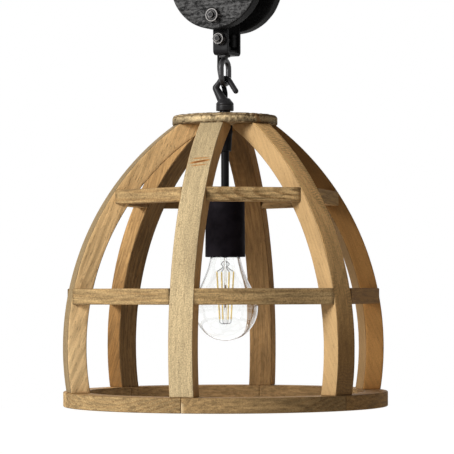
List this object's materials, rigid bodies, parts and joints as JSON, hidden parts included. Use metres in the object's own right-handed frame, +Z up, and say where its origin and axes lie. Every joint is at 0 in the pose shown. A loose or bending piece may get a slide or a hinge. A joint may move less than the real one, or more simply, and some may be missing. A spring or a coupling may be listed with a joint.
{
  "type": "pendant light",
  "caption": "Pendant light: a dome of curved wooden ribs and straight slats on a round ring, with a bare bulb inside, hung by hook and eye bolt from a black wooden pulley block.",
  "frame": {"origin": "centre of the hanging eye's hole, at the top of the light", "axes": "+Z up, Y along the sheave's axle and through the hanging eye's hole, front cheek towards -Y"},
  "size_m": [0.3, 0.3008, 0.4932],
  "materials": {
    "wood": "rough sawn, unpainted",
    "black_wood": "painted black, grain showing",
    "black_steel": "satin black",
    "worn_steel": "black with worn edges",
    "brass": "plain",
    "black_plastic": "matt",
    "cap_metal": "plain",
    "clear_glass": "clear",
    "wire": "plain",
    "filament": "yellow coated strips"
  },
  "bodies": {
    "hanger": {"hanging_eye": "black_steel"},
    "block": {"front_cheek": "black_wood", "rear_cheek": "black_wood", "strap": "black_steel", "axle_bolt": "worn_steel", "axle_nut": "worn_steel", "cheek_bolts": "worn_steel", "strap_bolts": "worn_steel", "block_nuts": "worn_steel", "pin_spacers": "black_steel", "eye_bolt": "black_steel", "eye_nuts": "worn_steel", "lead_terminal": "black_plastic", "lead_outer": "black_plastic"},
    "sheave": {"sheave": "black_steel", "sheave_bush": "brass"},
    "shade": {"top_disc": "wood", "rib_1": "wood", "rib_2": "wood", "rib_3": "wood", "rib_4": "wood", "rib_5": "wood", "rib_6": "wood", "upper_slat_1": "wood", "upper_slat_2": "wood", "upper_slat_3": "wood", "upper_slat_4": "wood", "upper_slat_5": "wood", "upper_slat_6": "wood", "middle_slat_1": "wood", "middle_slat_2": "wood", "middle_slat_3": "wood", "middle_slat_4": "wood", "middle_slat_5": "wood", "middle_slat_6": "wood", "ring_segment_1": "wood", "ring_segment_2": "wood", "ring_segment_3": "wood", "ring_segment_4": "wood", "ring_segment_5": "wood", "ring_segment_6": "wood", "hook": "black_steel", "hook_collar": "black_steel", "gland": "black_steel", "stem": "black_steel", "holder_cup": "black_steel", "disc_nut": "worn_steel", "disc_screws": "worn_steel", "ring_screws": "worn_steel", "nipple": "worn_steel", "holder_contacts": "brass", "holder_insert": "black_plastic", "lead_inner": "black_plastic"},
    "bulb": {"bulb_glass": "clear_glass", "bulb_cap": "cap_metal", "bulb_insulator": "black_plastic", "bulb_contact": "brass", "bulb_mount": "clear_glass", "filament_wires": "wire", "filaments": "filament"}
  },
  "joints": [
    {"name": "block_swing", "type": "hinge", "parent": "hanger", "child": "block", "pos_m": [0, 0, -0.03], "axis": [0, 1, 0], "range_deg": [-30, 30]},
    {"name": "sheave_spin", "type": "hinge", "parent": "block", "child": "sheave", "pos_m": [0, 0, -0.0835], "axis": [0, 1, 0], "continuous": true},
    {"name": "shade_swing", "type": "hinge", "parent": "block", "child": "shade", "pos_m": [0, -0.0045, -0.178], "axis": [0, 1, 0], "range_deg": [-25, 25], "deforming": ["lead_outer"]},
    {"name": "bulb_release", "type": "slide", "parent": "shade", "child": "bulb", "axis": [0, 0, -1], "range_m": [0, 0.026]}
  ]
}
